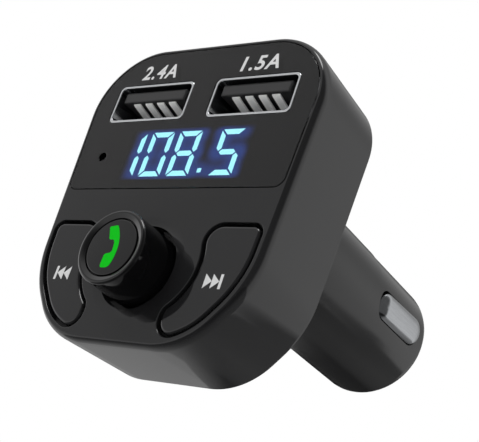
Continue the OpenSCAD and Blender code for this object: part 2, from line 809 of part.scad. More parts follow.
// Knob with a raised rim that slopes in to the disc set in its face
module knob() {
    color("#222224") translate([0, 0, -knob_drop]) difference() {
        turned() polygon([[0, disc_y], [cap_r + fit, disc_y], [knob_r - knob_bevel, knob_face_y],
            [knob_r, knob_face_y + knob_bevel], [knob_r, knob_back_y], [0, knob_back_y]]);
        rod(cap_r + fit, disc_y - over, cap_t + over);
        shaft_form(fit / 4);
        rod(shaft_r + clear, knob_back_y - clear, clear + over);
    }
}
symbol_d = 0.3;
module knob_cap() {
    color("#2a2a2c") difference() {
        translate([0, 0, -knob_drop]) rod(cap_r, disc_y, cap_t);
        slab(disc_y - over, symbol_d + over) handset();
    }
}

// Flat handset: a leaning, curved handle with an ear piece and a mouth piece
handset_h = 6;
handset_w = 2.15;
handset_r = 5.7;
handset_t = 0.8;
handset_end_h = 1.95;
handset_corner_r = 0.25;
handset_shift = 1.14;
handset_lean = 8;
module handset() {
    translate([0, -knob_drop]) rotate(handset_lean) translate([handset_shift - handset_r, 0])
        offset(r = handset_corner_r, $fn = 24) offset(delta = -handset_corner_r) intersection() {
            circle(handset_r);
            translate([handset_r - handset_w, -handset_h / 2]) square([handset_w, handset_h]);
            difference() {
                square([2 * handset_r, handset_h], center = true);
                intersection() {
                    circle(handset_r - handset_t);
                    square([2 * handset_r, handset_h - 2 * handset_end_h], center = true);
                }
            }
        }
}
module phone_symbol() {
    color("#19c528") slab(disc_y, symbol_d) handset();
}

// Button cap, with a core inside the shell's hollow and a rim behind the face
button_cap_t = face_t - button_travel - fit;
hollow_inset = wall + ledge + clear;
module next_button() {
    color("#252527") difference() {
        union() {
            slab(face_y, button_cap_t) button_outline(0);
            slab(face_y, button_t) intersection() {
                button_outline(0);
                corner_outline(head_corners, hollow_inset);
            }
            slab(web_y + fit, button_t - face_t - fit) intersection() {
                button_outline(button_rim);
                corner_outline(head_corners, hollow_inset);
            }
        }
        slab(face_y - over, symbol_d + over) skip_mark();
    }
}
module previous_button() {
    mirror([1, 0, 0]) next_button();
}

// Width of the button between its hollow edge and the flank, which places what is on it
hollow_edge_x = hollow_x + hollow_r;
neck_w = flank_half_w - button_margin - hollow_edge_x;

// Skip mark: two arrowheads with blunt tips and a bar, pointing away from the knob
mark_share = 0.373;
mark_w = neck_w * mark_share;
mark_h_share = 0.725;
mark_h = mark_w * mark_h_share;
mark_x_share = 0.392;
mark_x = hollow_edge_x + neck_w * mark_x_share;
mark_z = -17.95;
mark_bar_share = 0.15;
mark_tip_share = 0.05;
module skip_mark() {
    arrow_w = mark_w * (1 - mark_bar_share) / 2;
    h = mark_h / 2;
    tip = h * mark_tip_share;
    upper = [[0, h], [arrow_w, tip], [arrow_w, h], [2 * arrow_w, tip], [2 * arrow_w, h], [mark_w, h]];
    translate([mark_x - mark_w / 2, mark_z])
        polygon(concat(upper, [for (i = [len(upper) - 1 : -1 : 0]) [upper[i][0], -upper[i][1]]]));
}
module next_symbol() {
    color("#f2f2f2") slab(face_y, symbol_d) skip_mark();
}
module previous_symbol() {
    mirror([1, 0, 0]) next_symbol();
}

// Tact switch under each button, with a tall stem that the button pushes
switch_w_share = 2 / 3;
switch_w = neck_w * switch_w_share;
switch_x_share = 0.276;
switch_x = hollow_edge_x + neck_w * switch_x_share;
stem_share = 0.23;
stem_r = switch_w * stem_share;
stem_in = 0.5;
module next_switch() {
    color("#2b2b2d") translate([switch_x, 0, -knob_drop]) difference() {
        bar(switch_w, switch_w, board_y - switch_h, switch_h);
        rod(stem_r + running, board_y - switch_h - over, over + stem_in + button_travel + fit);
    }
}
module previous_switch() {
    mirror([1, 0, 0]) next_switch();
}
module next_stem() {
    color("#c9c9c5") translate([switch_x, 0, -knob_drop])
        rod(stem_r, face_y + button_t, port_d - button_t - switch_h + stem_in);
}
module previous_stem() {
    mirror([1, 0, 0]) next_stem();
}

// Parts on the boards
chip_w = 6;
chip_h = 5;
chip_t = 0.9;
chip_z = -6.9;
module radio_chip() {
    color("#18181a") translate([-chip_w / 2, 0, chip_z]) bar(chip_w, chip_h, board_y - chip_t, chip_t);
}
crystal_w = 3.2;
crystal_h = 2.5;
module crystal() {
    color("#c6c8ca") translate([crystal_w, 0, chip_z]) bar(crystal_w, crystal_h, board_y - chip_t, chip_t);
}
coil_form_r = 3.4;
coil_form_h = 4;
coil_y = 9.5;
module power_inductor() {
    color("#3b3b3e") translate([0, coil_y, board_t / 2]) cylinder(r = coil_form_r, h = coil_form_h);
}
can_r = 2.5;
can_gap = 1.02;
can_h = sqrt(pow(bore_r, 2) - pow(2 * can_r + clear, 2)) - board_t / 2 - can_gap;
can_y = 16.5;
module power_capacitors() {
    color("#8f959c") for (side = [-1, 1])
        translate([side * (can_r + clear), can_y, board_t / 2]) cylinder(r = can_r, h = can_h);
}
converter_w = 5;
converter_len = 4;
converter_t = 1.5;
converter_y = 9;
module converter_chip() {
    color("#18181a") translate([-converter_w / 2, converter_y, -board_t / 2 - converter_t])
        cube([converter_w, converter_len, converter_t]);
}
module board_screws() {
    color("#b9bbbd") for (p = boss_places) translate([p[0], 0, p[1]]) {
        rod(screw_head_r, board_back_y, screw_head_h);
        rod(screw_r - fit / 4, board_back_y - board_t - pilot_d + fit, board_t + pilot_d);
    }
}

front_shell();
display_lens();
rear_housing();
nose_ring();
tip_contact();
tip_spring();
spring_cup();
ground_contact_right();
ground_contact_left();
usb_shell_left();
usb_shell_right();
usb_tongue_left();
usb_tongue_right();
usb_contacts_left();
usb_contacts_right();
display_module();
display_digits();
microphone();
microphone_boot();
main_board();
power_board();
board_header();
encoder_body();
encoder_bracket();
encoder_plunger();
encoder_shaft();
knob();
knob_cap();
phone_symbol();
previous_button();
next_button();
previous_symbol();
next_symbol();
previous_switch();
next_switch();
previous_stem();
next_stem();
radio_chip();
crystal();
power_inductor();
power_capacitors();
converter_chip();
board_screws();
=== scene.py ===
# Car FM transmitter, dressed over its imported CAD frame.
# Sizes in the dictionaries are in millimetres (the studio's in metres) and places are in the
# CAD frame, whose origin is on the plug's axis at the head's back; -Y is the face's side and
# +Z is up.
import math
import bmesh, bpy
from mathutils import Matrix, Vector


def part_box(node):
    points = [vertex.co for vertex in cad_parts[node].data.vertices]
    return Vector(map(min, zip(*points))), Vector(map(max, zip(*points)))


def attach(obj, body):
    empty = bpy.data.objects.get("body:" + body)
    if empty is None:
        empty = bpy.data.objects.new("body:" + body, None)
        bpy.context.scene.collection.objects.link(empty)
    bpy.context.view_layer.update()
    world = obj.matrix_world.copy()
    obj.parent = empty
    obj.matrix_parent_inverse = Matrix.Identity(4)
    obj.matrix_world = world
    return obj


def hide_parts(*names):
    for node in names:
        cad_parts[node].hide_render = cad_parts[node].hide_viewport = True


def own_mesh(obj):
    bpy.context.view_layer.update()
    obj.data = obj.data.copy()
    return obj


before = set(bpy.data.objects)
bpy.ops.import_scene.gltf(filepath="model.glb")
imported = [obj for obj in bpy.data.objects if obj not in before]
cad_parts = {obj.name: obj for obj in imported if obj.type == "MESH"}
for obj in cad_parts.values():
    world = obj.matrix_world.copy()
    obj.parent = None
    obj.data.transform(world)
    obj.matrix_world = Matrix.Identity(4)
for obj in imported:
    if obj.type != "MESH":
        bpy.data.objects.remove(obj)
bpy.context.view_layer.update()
mm = 0.001
print("frame loaded")


# ---- outlines: an outline is a list of arcs (x, z, radius, start angle, end angle) joined by
# straight lines. The angles are those of the outward normal, so a hollow arc has a negative
# radius, and every arc can be grown by the same amount.
def normalAngle(a, b):
    gap = math.hypot(b[0] - a[0], b[1] - a[1])
    return math.atan2(b[1] - a[1], b[0] - a[0]) - math.acos((a[2] - b[2]) / gap)


def tangentArcs(corners):
    turns = [normalAngle(c, corners[(i + 1) % len(corners)]) for i, c in enumerate(corners)]
    arcs = []
    for i, (x, z, r) in enumerate(corners):
        sweepAngle = (turns[i] - turns[i - 1]) % (2 * math.pi)
        arcs.append((x, z, r, turns[i - 1], turns[i - 1] + sweepAngle))
    return arcs


def boxArcs(x, z, width, height, r):
    arcs = []
    for i, (sx, sz) in enumerate([(1, -1), (1, 1), (-1, 1), (-1, -1)]):
        start = math.radians(90 * i - 90)
        arcs.append((x + sx * (width / 2 - r), z + sz * (height / 2 - r), r, start, start + math.pi / 2))
    return arcs


def circleArcs(x, z, r):
    return [(x, z, r, 0, 2 * math.pi)]


def mirrorArcs(arcs):
    return [(-x, z, r, math.pi - end, math.pi - start) for x, z, r, start, end in reversed(arcs)]


def outlinePoints(arcs, grow=0.0, step=5.0):
    points = []
    for x, z, r, start, end in arcs:
        steps = max(2, math.ceil(abs(math.degrees(end - start)) / step))
        for i in range(steps + 1):
            a = start + (end - start) * i / steps
            p = (x + (r + grow) * math.cos(a), z + (r + grow) * math.sin(a))
            if not points or math.dist(points[-1], p) > 1e-4:
                points.append(p)
    return points[:-1] if math.dist(points[0], points[-1]) < 1e-4 else points


# ---- mesh building: rings of vertices, bridged into skins and filled flat
def layRing(bm, points, y):
    return [bm.verts.new((x * mm, y * mm, z * mm)) for x, z in points]


def bridge(bm, low, high):
    for i in range(len(low)):
        bm.faces.new((low[i - 1], low[i], high[i], high[i - 1]))


def sweep(bm, arcs, profile, step=5.0):  # profile: (growth, y) pairs; gives the first and last ring
    rings = [layRing(bm, outlinePoints(arcs, grow, step), y) for grow, y in profile]
    for low, high in zip(rings, rings[1:]):
        bridge(bm, low, high)
    return rings[0], rings[-1]


def fillFlat(bm, *rings):
    edges = []
    for ring in rings:
        for i in range(len(ring)):
            pair = (ring[i - 1], ring[i])
            edges.append(bm.edges.get(pair) or bm.edges.new(pair))
    bmesh.ops.triangle_fill(bm, use_beauty=True, edges=edges)


def rollOut(g0, y0, g1, y1, steps=6):  # a quarter round that leaves along the face
    turns = [math.pi / 2 * i / steps for i in range(steps + 1)]
    return [(g0 + (g1 - g0) * math.sin(a), y0 + (y1 - y0) * (1 - math.cos(a))) for a in turns]


def rollIn(g0, y0, g1, y1, steps=6):  # a quarter round that arrives along the face
    turns = [math.pi / 2 * i / steps for i in range(steps + 1)]
    return [(g0 + (g1 - g0) * (1 - math.cos(a)), y0 + (y1 - y0) * math.sin(a)) for a in turns]


def heldRound(g0, y0, g1, y1, steps=6, hold=0.03):  # a ring close by keeps the flat's shading flat
    return [(g0 + math.copysign(hold, g0 - g1), y0)] + rollOut(g0, y0, g1, y1, steps)


def turnedSkin(bm, profile, centre=(0, 0), steps=96):  # profile: (radius, y) pairs about the Y axis
    rings = []
    for r, y in profile:
        if r < 1e-6:
            rings.append([bm.verts.new((centre[0] * mm, y * mm, centre[1] * mm))])
            continue
        turns = [2 * math.pi * i / steps for i in range(steps)]
        rings.append(layRing(bm, [(centre[0] + r * math.cos(a), centre[1] + r * math.sin(a)) for a in turns], y))
    for low, high in zip(rings, rings[1:]):
        if len(low) == 1 or len(high) == 1:
            hub, ring = (low[0], high) if len(low) == 1 else (high[0], low)
            for i in range(steps):
                bm.faces.new((hub, ring[i - 1], ring[i]))
        else:
            bridge(bm, low, high)
    return rings[0], rings[-1]


def linkMesh(name, bm):
    mesh = bpy.data.meshes.new(name)
    bm.to_mesh(mesh)
    bm.free()
    thing = bpy.data.objects.new(name, mesh)
    bpy.context.scene.collection.objects.link(thing)
    return thing


def smoothBelow(mesh, sharp):  # edges sharper than this many degrees stay crisp
    mesh.polygons.foreach_set("use_smooth", [True] * len(mesh.polygons))
    mesh.set_sharp_from_angle(angle=math.radians(sharp))


def finishPiece(name, bm, material, body, replaces=(), sharp=38.0):
    bmesh.ops.recalc_face_normals(bm, faces=bm.faces)
    piece = linkMesh(name, bm)
    smoothBelow(piece.data, sharp)
    piece.data.materials.append(material)
    bpy.context.view_layer.update()
    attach(piece, body)
    if replaces:
        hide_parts(*replaces)
    return piece


# ---- materials
def linearOf(hexCode):
    channels = [int(hexCode[i:i + 2], 16) / 255 for i in (1, 3, 5)]
    return [c / 12.92 if c <= 0.04045 else ((c + 0.055) / 1.055) ** 2.4 for c in channels] + [1.0]


def setSockets(tree, node, values):
    for key, value in values.items():
        if isinstance(value, bpy.types.NodeSocket):
            tree.links.new(value, node.inputs[key])
        else:
            node.inputs[key].default_value = value


def addNode(tree, kind, values=None, **settings):
    node = tree.nodes.new(kind)
    for key, value in settings.items():
        setattr(node, key, value)
    setSockets(tree, node, values or {})
    return node


def addNoise(tree, place, cell, detail, uneven=0.5):  # cell: how many millimetres a blotch is wide
    return addNode(tree, "ShaderNodeTexNoise", {"Vector": place, "Scale": 1 / (cell * mm), "Detail": detail,
                                                "Roughness": uneven}).outputs["Fac"]


def addRange(tree, value, low, high, start=0.0, end=1.0, kind="LINEAR"):
    return addNode(tree, "ShaderNodeMapRange", {"Value": value, "From Min": start, "From Max": end, "To Min": low,
                                                "To Max": high}, interpolation_type=kind).outputs["Result"]


def addTint(tree, factor, colours):
    first, second = [linearOf(colour) for colour in colours]
    return addNode(tree, "ShaderNodeMix", {"Factor": factor, "A": first, "B": second},
                   data_type="RGBA").outputs["Result"]


def addBump(tree, height, strength, deep):  # deep: millimetres
    return addNode(tree, "ShaderNodeBump", {"Height": height, "Strength": strength,
                                            "Distance": deep * mm}).outputs["Normal"]


def newMaterial(name):
    material = bpy.data.materials.new(name)
    material.use_nodes = True
    tree = material.node_tree
    return material, tree, addNode(tree, "ShaderNodeTexCoord").outputs["Object"]


def setShader(tree, values):
    setSockets(tree, tree.nodes["Principled BSDF"], values)


# Polished ABS: the mirror finish comes from the mould. The eye sees a faint swell where the melt
# cooled, and fine scuffs that only lift the gloss a little.
def polishedAbs(name, colours, gloss):
    material, tree, place = newMaterial(name)
    blotch = addNoise(tree, place, cell=9, detail=2)
    scuff = addNoise(tree, place, cell=0.6, detail=4, uneven=0.7)
    swell = addNoise(tree, place, cell=2.5, detail=1)
    setShader(tree, {"Base Color": addTint(tree, blotch, colours), "IOR": 1.45,
                     "Roughness": addRange(tree, scuff, *gloss, start=0.35, end=0.75),
                     "Normal": addBump(tree, swell, strength=0.25, deep=0.005)})
    return material


# Moulded nylon: a satin black or cream whose spark-eroded mould leaves a fine grain
def grainedNylon(name, colours):
    material, tree, place = newMaterial(name)
    grain = addNode(tree, "ShaderNodeTexVoronoi", {"Vector": place, "Scale": 1 / (0.18 * mm)})
    tone = addNoise(tree, place, cell=1.5, detail=3)
    setShader(tree, {"Base Color": addTint(tree, tone, colours), "Roughness": addRange(tree, tone, 0.32, 0.5),
                     "Normal": addBump(tree, grain.outputs["Distance"], strength=0.2, deep=0.01)})
    return material


# Plated sheet metal: rolled first, so its streaks run along the strip, then plated bright
def platedMetal(name, colours, gloss, stretch=(1, 0.08, 1), metallic=1.0):
    material, tree, place = newMaterial(name)
    along = addNode(tree, "ShaderNodeMapping", {"Vector": place, "Scale": stretch}).outputs["Vector"]
    streak = addNoise(tree, along, cell=0.25, detail=4, uneven=0.6)
    setShader(tree, {"Base Color": addTint(tree, streak, colours),
                     "Roughness": addRange(tree, streak, *gloss, start=0.3, end=0.7),
                     "Normal": addBump(tree, streak, strength=0.15, deep=0.004), "Metallic": metallic})
    return material


# Pad-printed ink: flat, slightly chalky, with the faint unevenness of the pad
def padInk(name, colours, rough, sheen):
    material, tree, place = newMaterial(name)
    tone = addNoise(tree, place, cell=0.35, detail=3)
    setShader(tree, {"Base Color": addTint(tree, tone, colours), "Roughness": rough, "Specular IOR Level": sheen,
                     "Normal": addBump(tree, tone, strength=0.2, deep=0.004)})
    return material


# Smoked polycarbonate: clear at heart, so what is lit behind it shows and the rest stays dark
def smokedPolycarbonate():
    material, tree, place = newMaterial("smokedPolycarbonate")
    setShader(tree, {"Roughness": addRange(tree, addNoise(tree, place, cell=5, detail=2), 0.01, 0.03),
                     "Base Color": linearOf("#59595b"), "Transmission Weight": 1.0, "IOR": 1.45})
    return material


# Lit diffuser: cast resin over the lamps, a little hotter in patches
def litDiffuser():
    material, tree, place = newMaterial("litDiffuser")
    cloud = addNoise(tree, place, cell=1.2, detail=1)
    setShader(tree, {"Emission Color": addTint(tree, cloud, ("#9cf0ff", "#acf6ff")), "Emission Strength": 11.6,
                     "Base Color": linearOf("#123040"), "Roughness": 0.4})
    return material


# Display case: moulded black polycarbonate with a painted glow, an emission that stands in for the light the digits
# spill onto it
def displayCase():
    material, tree, place = newMaterial("displayCase")
    # painted glow: emission coloured by how near each point of the case lies to a lit segment
    glow = addNode(tree, "ShaderNodeAttribute", attribute_name="paintedGlow")
    shade = addNode(tree, "ShaderNodeValToRGB", {"Fac": glow.outputs["Fac"]})
    shade.color_ramp.elements[0].color = (0, 0, 0, 1)
    shade.color_ramp.elements[1].color = linearOf("#355ec4")
    shade.color_ramp.elements.new(0.45).color = linearOf("#2c489c")
    setShader(tree, {"Emission Color": shade.outputs["Color"], "Emission Strength": 3.4,
                     "Roughness": addRange(tree, addNoise(tree, place, cell=0.3, detail=2), 0.45, 0.65),
                     "Base Color": linearOf("#08080a"), "Specular IOR Level": 0.2})
    return material


# Solder mask over copper: glassy green with the tracks showing as lighter lines
def solderMask():
    material, tree, place = newMaterial("solderMask")
    tracks = addNode(tree, "ShaderNodeTexBrick", {"Vector": place, "Scale": 1 / mm, "Color1": linearOf("#14502c"),
                                                  "Color2": linearOf("#185a33"), "Mortar": linearOf("#2a7a48"),
                                                  "Mortar Size": 0.08, "Brick Width": 2.4, "Row Height": 1.1})
    setShader(tree, {"Base Color": tracks.outputs["Color"], "Roughness": 0.25,
                     "Normal": addBump(tree, tracks.outputs["Fac"], strength=0.3, deep=0.03)})
    return material


# Soft rubber: moulded, dry and even, with a bloom that lightens it in patches
def softRubber():
    material, tree, place = newMaterial("softRubber")
    bloom = addNoise(tree, place, cell=0.8, detail=4)
    setShader(tree, {"Base Color": addTint(tree, bloom, ("#161617", "#242426")), "Roughness": 0.8})
    return material


# Floor paper: matt, and left out of reflections, where the world stands for the room
def floorPaper():
    material, tree, _ = newMaterial("paperFloor")
    setShader(tree, {"Base Color": linearOf("#f4f4f4"), "Roughness": 0.9})
    rays = addNode(tree, "ShaderNodeLightPath")
    through = addNode(tree, "ShaderNodeBsdfTransparent")
    shown = addNode(tree, "ShaderNodeMixShader", {0: rays.outputs["Is Glossy Ray"],
                                                  1: tree.nodes["Principled BSDF"].outputs["BSDF"],
                                                  2: through.outputs["BSDF"]})
    tree.links.new(shown.outputs["Shader"], tree.nodes["Material Output"].inputs["Surface"])
    return material


shellAbs = polishedAbs("polishedAbs", ("#1b1b1c", "#1f1f20"), (0.03, 0.07))
plugAbs = polishedAbs("plugAbs", ("#0c0c0d", "#101011"), (0.10, 0.16))
knobAbs = polishedAbs("knobAbs", ("#0a0a0b", "#0e0e0f"), (0.05, 0.10))
blackNylon = grainedNylon("blackNylon", ("#1c1c1d", "#242425"))
chipEpoxy = grainedNylon("chipEpoxy", ("#151516", "#1e1e1f"))
naturalNylon = grainedNylon("naturalNylon", ("#c9c7bd", "#d8d6cc"))
nickelPlate = platedMetal("nickelPlate", ("#929497", "#b2b4b6"), (0.14, 0.26))
tinPlate = platedMetal("tinPlate", ("#c4c6c9", "#e2e4e6"), (0.10, 0.20))
mattNickel = platedMetal("mattNickel", ("#f0f0ee", "#fcfcfa"), (0.4, 0.55), metallic=0.2)
turnedBrass = platedMetal("turnedBrass", ("#b08a3c", "#cfa95c"), (0.18, 0.32), (1, 1, 1))
whiteInk = padInk("whiteInk", ("#d2d2d2", "#dedede"), 0.5, 0.3)
greenInk = padInk("greenInk", ("#02b814", "#06c81a"), 0.6, 0.1)
smokedLens = smokedPolycarbonate()
digitLight = litDiffuser()
caseWithPaintedGlow = displayCase()
boardGreen = solderMask()
bootRubber = softRubber()
print("materials made")


# ---- head outline, shared by the shell, the lens, the buttons and the back plate
head = dict(face=-15.0, draft=0.45, edgeIn=0.7, edgeDeep=1.4, rearEdge=0.3, hold=0.3, wallIn=1.6, ledgeIn=2.1,
            webBack=-13.1, lensSeat=-13.9, plateFront=-1.8, boardFront=-4.5,
            corners=[(6.0, -15.9, 11.5), (4.7, -12.7, 14.5), (10.0, 8.8, 10.5)])
headArcs = tangentArcs(head["corners"] + [(-x, z, r) for x, z, r in reversed(head["corners"])])


def sideX(z, inset):  # place across of the head's side at height z
    (ax, az, ar), (bx, bz, br) = head["corners"][1:]
    t = normalAngle((ax, az, ar), (bx, bz, br))
    return (bx * math.cos(t) + bz * math.sin(t) + br - inset - z * math.sin(t)) / math.cos(t)


# the shell is made round its openings, so the sizes of what fills them come before it
lens = dict(margin=1.0, low=-4.6, cornerR=1.5, groove=0.15, edge=0.06, soft=0.04)
lensCornerZ = lens["low"] + lens["cornerR"]
topX, topZ, topR = head["corners"][2]
lensSide = [(sideX(lensCornerZ, lens["margin"] + lens["cornerR"]), lensCornerZ, lens["cornerR"]),
            (topX, topZ, topR - lens["margin"])]
lensArcs = tangentArcs(lensSide + [(-x, z, r) for x, z, r in reversed(lensSide)])

port = dict(x=9.06, z=9.77, mouthW=14.1, mouthH=6.36, mouthR=0.9, gap=0.1, holeW=12.5, holeH=5.12, sheet=0.35,
            flare=0.38, taperDepth=2.5, mouthDepth=0.5, lip=0.12, innerLip=0.08, tongueW=11.6, tongueT=1.8,
            tongueR=0.2, tongueRise=0.35, tongueIn=0.25, tipRound=0.25, baseDepth=1.8, baseGap=0.1)
microphone = dict(x=-14.465, z=0.7, holeR=0.7)
display = dict(halfW=11.0, z=1.5, halfH=4.3, gap=0.1, cornerR=0.3, caseIn=0.04, cell=0.28)
knob = dict(z=-16.5, r=5.3, rim=-20.85, disc=-20.6, back=-12.8, crest=4.85, rollDeep=0.4, backEdge=0.15,
            rimEdge=(0.1, 0.03), cupEdge=[(0, 0.1), (0.03, 0.05)], capR=3.97, capGap=0.2, capT=1.2,
            capEdge=[(0.14, 0), (0.1, 0.004), (0.03, 0.04), (0, 0.12)], wellR=6.05, dishW=1.25, dishD=0.08,
            dishEdge=[(0.08, 0), (0, 0.006), (-0.08, 0.02)], wellLip=0.05, wellFloor=-12.0, wellBack=-10.8,
            wellWall=1.2, shaftHole=3.3)
button = dict(margin=1.6, top=-10.17, left=6.912, hollowX=1.7, hollowZ=-15.5, hollowR=8.5, gap=0.45, mouthRoll=0.14,
              stop=-0.6, stopT=0.05, edge=0.45, capT=1.2, coreIn=0.9, coreT=2.6, outerR=1.2, innerR=2.25,
              notchR=1.5, footR=1.9)
boss = dict(places=[(0, 15.2), (15.0, -6.8), (-15.0, -6.8)], r=1.85, holeR=0.9, deep=6)


def buttonArcs():  # the right button's outline, anticlockwise from its upper outer corner
    inset, hx, hz, hr = button["margin"], button["hollowX"], button["hollowZ"], button["hollowR"]
    outerR, innerR, notchR, footR = [button[key] for key in ("outerR", "innerR", "notchR", "footR")]
    (bx, bz, br), (fx, fz, fr), (tx, tz, tr) = head["corners"]
    flank, low = normalAngle((fx, fz, fr), (tx, tz, tr)), normalAngle((bx, bz, br), (fx, fz, fr))
    outerZ, innerZ = button["top"] - outerR, button["top"] - innerR
    notchX, footX = button["left"] + notchR, button["left"] + footR
    outerX = sideX(outerZ, inset + outerR)
    innerX = hx + math.sqrt((hr + innerR) ** 2 - (innerZ - hz) ** 2)
    notchZ = hz - math.sqrt((hr + notchR) ** 2 - (notchX - hx) ** 2)
    footZ = bz - math.sqrt((br - inset - footR) ** 2 - (footX - bx) ** 2)
    innerTurn = math.atan2(innerZ - hz, innerX - hx) + math.pi
    notchTurn = math.atan2(notchZ - hz, notchX - hx) + math.pi
    footTurn = math.atan2(footZ - bz, footX - bx)
    return [(outerX, outerZ, outerR, flank, math.pi / 2),
            (innerX, innerZ, innerR, math.pi / 2, innerTurn),
            (hx, hz, -hr, innerTurn, notchTurn),
            (notchX, notchZ, notchR, notchTurn, math.pi),
            (footX, footZ, footR, math.pi, footTurn + 2 * math.pi),
            (bx, bz, br - inset, footTurn, low),
            (fx, fz, fr - inset, low, flank)]


rightButton = buttonArcs()
leftButton = mirrorArcs(rightButton)


def portMouth(side):
    return boxArcs(side * port["x"], port["z"], port["mouthW"], port["mouthH"], port["mouthR"])


def pierce(bm, arcs, profile, fronts, backs):  # the wall of a hole, whose ends open in two faces
    near, far = sweep(bm, arcs, profile)
    fronts.append(near)
    backs.append(far)


# ---- front shell: one moulding with the lens's recess, the button holes and the knob's well
def buildFrontShell():
    bm = bmesh.new()
    face, web, edge, rear = head["face"], head["webBack"], head["edgeIn"], head["rearEdge"]
    sideStart, draft, hold = face + head["edgeDeep"], head["draft"], head["hold"]
    lean = draft * hold / (-rear - sideStart)
    # a ring close to either end of the side keeps its shading flat along the depth
    skin = heldRound(-edge, face, 0, sideStart, 10, 0.02) \
        + [(-lean, sideStart + hold), (lean - draft, -rear - hold)] \
        + rollIn(-draft, -rear, -draft - rear, 0) \
        + [(-head["wallIn"], 0), (-head["wallIn"], head["plateFront"]), (-head["ledgeIn"], head["plateFront"]),
           (-head["ledgeIn"], web)]
    faceOuter, webOuter = sweep(bm, headArcs, skin, 3.0)

    groove, seat, soft = lens["groove"], head["lensSeat"], lens["soft"]
    lensRim, seatOuter = sweep(bm, lensArcs, heldRound(groove + soft, face, groove, face + soft, 3, 0.01)
                               + [(groove, seat)])
    faceHoles, seatHoles, webHoles = [lensRim], [], []
    for side in (-1, 1):
        pierce(bm, portMouth(side), [(port["gap"], seat), (port["gap"], web)], seatHoles, webHoles)
    window = boxArcs(0, display["z"], 2 * (display["halfW"] + display["gap"]),
                     2 * (display["halfH"] + display["gap"]), display["cornerR"])
    pierce(bm, window, [(0, seat), (0, web)], seatHoles, webHoles)
    pierce(bm, circleArcs(microphone["x"], microphone["z"], microphone["holeR"]), [(0, seat), (0, web)],
           seatHoles, webHoles)

    gap, roll, stop, stopStart = button["gap"], button["mouthRoll"], button["stop"], web - button["stopT"]
    for arcs in (rightButton, leftButton):
        pierce(bm, arcs, heldRound(gap + roll, face, gap, face + roll)
               + [(gap, stopStart), (stop, stopStart), (stop, web)], faceHoles, webHoles)

    dish, lip, wide = knob["dishW"], knob["wellLip"], knob["wellR"] - knob["shaftHole"]
    sunk, floor, back, wall = face + knob["dishD"], knob["wellFloor"], knob["wellBack"], knob["wellWall"]
    pierce(bm, circleArcs(0, knob["z"], knob["wellR"]),
           [(dish + out, face + deep) for out, deep in knob["dishEdge"]] + rollOut(lip, sunk, 0, sunk + lip, 2)
           + [(0, floor), (-wide, floor), (-wide, back), (wall, back), (wall, web)], faceHoles, webHoles)

    bore, end = boss["holeR"] - boss["r"], head["boardFront"]
    for x, z in boss["places"]:  # the board's screws go into these, from the back
        near, far = sweep(bm, circleArcs(x, z, boss["r"]),
                          [(0, web), (0, end), (bore, end), (bore, end - boss["deep"])])
        webHoles.append(near)
        fillFlat(bm, far)
    fillFlat(bm, faceOuter, *faceHoles)
    fillFlat(bm, seatOuter, *seatHoles)
    fillFlat(bm, webOuter, *webHoles)
    finishPiece("frontShell", bm, shellAbs, "casing", ["front_shell"])


buildFrontShell()
print("front shell built")


# ---- lens: a smoked panel, set flush, with the ports and the microphone's hole through it
def buildLens():
    bm = bmesh.new()
    face, back, edge, gap = head["face"], head["lensSeat"] - 0.01, lens["edge"], port["gap"]
    front, rear = [], []
    pierce(bm, lensArcs, heldRound(-edge, face, 0, face + edge, 4) + [(0, back)], front, rear)
    openings = [(portMouth(-1), gap), (portMouth(1), gap),
                (circleArcs(microphone["x"], microphone["z"], microphone["holeR"]), 0)]
    for arcs, wide in openings:
        pierce(bm, arcs, heldRound(wide + edge, face, wide, face + edge, 3) + [(wide, back)], front, rear)
    fillFlat(bm, *front)
    fillFlat(bm, *rear)
    finishPiece("displayLens", bm, smokedLens, "casing", ["display_lens"])


buildLens()
print("lens built")


# ---- display: the lit segments are the CAD's own; the case behind them carries a painted glow, an emission for the light they spill, which
# adds up from every segment within reach and fades out at the case's rim
# reach, falloff, strength and fade shape the painted glow on the case
digits = dict(height=7.2, width=3.95, segment=0.8, pitch=5.05, dotX=3.46, places=(-2.05, -1.05, -0.05, 1.415),
              segments=("bc", "abcdef", "abcdefg", "acdfg"), reach=1.9, falloff=1.8, strength=0.85, fade=0.9)


def segmentLines():  # middle line of every lit segment, as pairs of points
    w, h, t = digits["width"] / 2, digits["height"] / 2, digits["segment"] / 2
    run = {"a": ((-w + t, h - t), (w - t, h - t)), "d": ((-w + t, t - h), (w - t, t - h)),
           "g": ((-w + t, 0), (w - t, 0)), "b": ((w - t, h - t), (w - t, t)), "c": ((w - t, -t), (w - t, t - h)),
           "f": ((t - w, h - t), (t - w, t)), "e": ((t - w, -t), (t - w, t - h))}
    lines = []
    for place, names in zip(digits["places"], digits["segments"]):
        x = place * digits["pitch"]
        lines += [((run[n][0][0] + x, run[n][0][1]), (run[n][1][0] + x, run[n][1][1])) for n in names]
    dotZ = 2 * t - h
    return lines + [((digits["dotX"], dotZ), (digits["dotX"], dotZ))]


# painted glow: what the segments near a point of the case add to the emission painted on it
def paintedGlowAt(px, pz, lines):  # what the segments near a point of the case add to its glow
    spread = 0.0
    for (ax, az), (bx, bz) in lines:
        x, z, dx, dz = px - ax, pz - az, bx - ax, bz - az
        along = min(1, max(0, (x * dx + z * dz) / ((dx * dx + dz * dz) or 1)))
        gap = max(0.0, math.hypot(x - along * dx, z - along * dz) - digits["segment"] / 2)
        spread += digits["strength"] * max(0.0, 1 - gap / digits["reach"]) ** digits["falloff"]
    rimGap = min(display["halfW"] - abs(px), display["halfH"] - abs(pz))
    return min(1.0, spread) * min(1.0, max(0.0, rimGap) / digits["fade"])


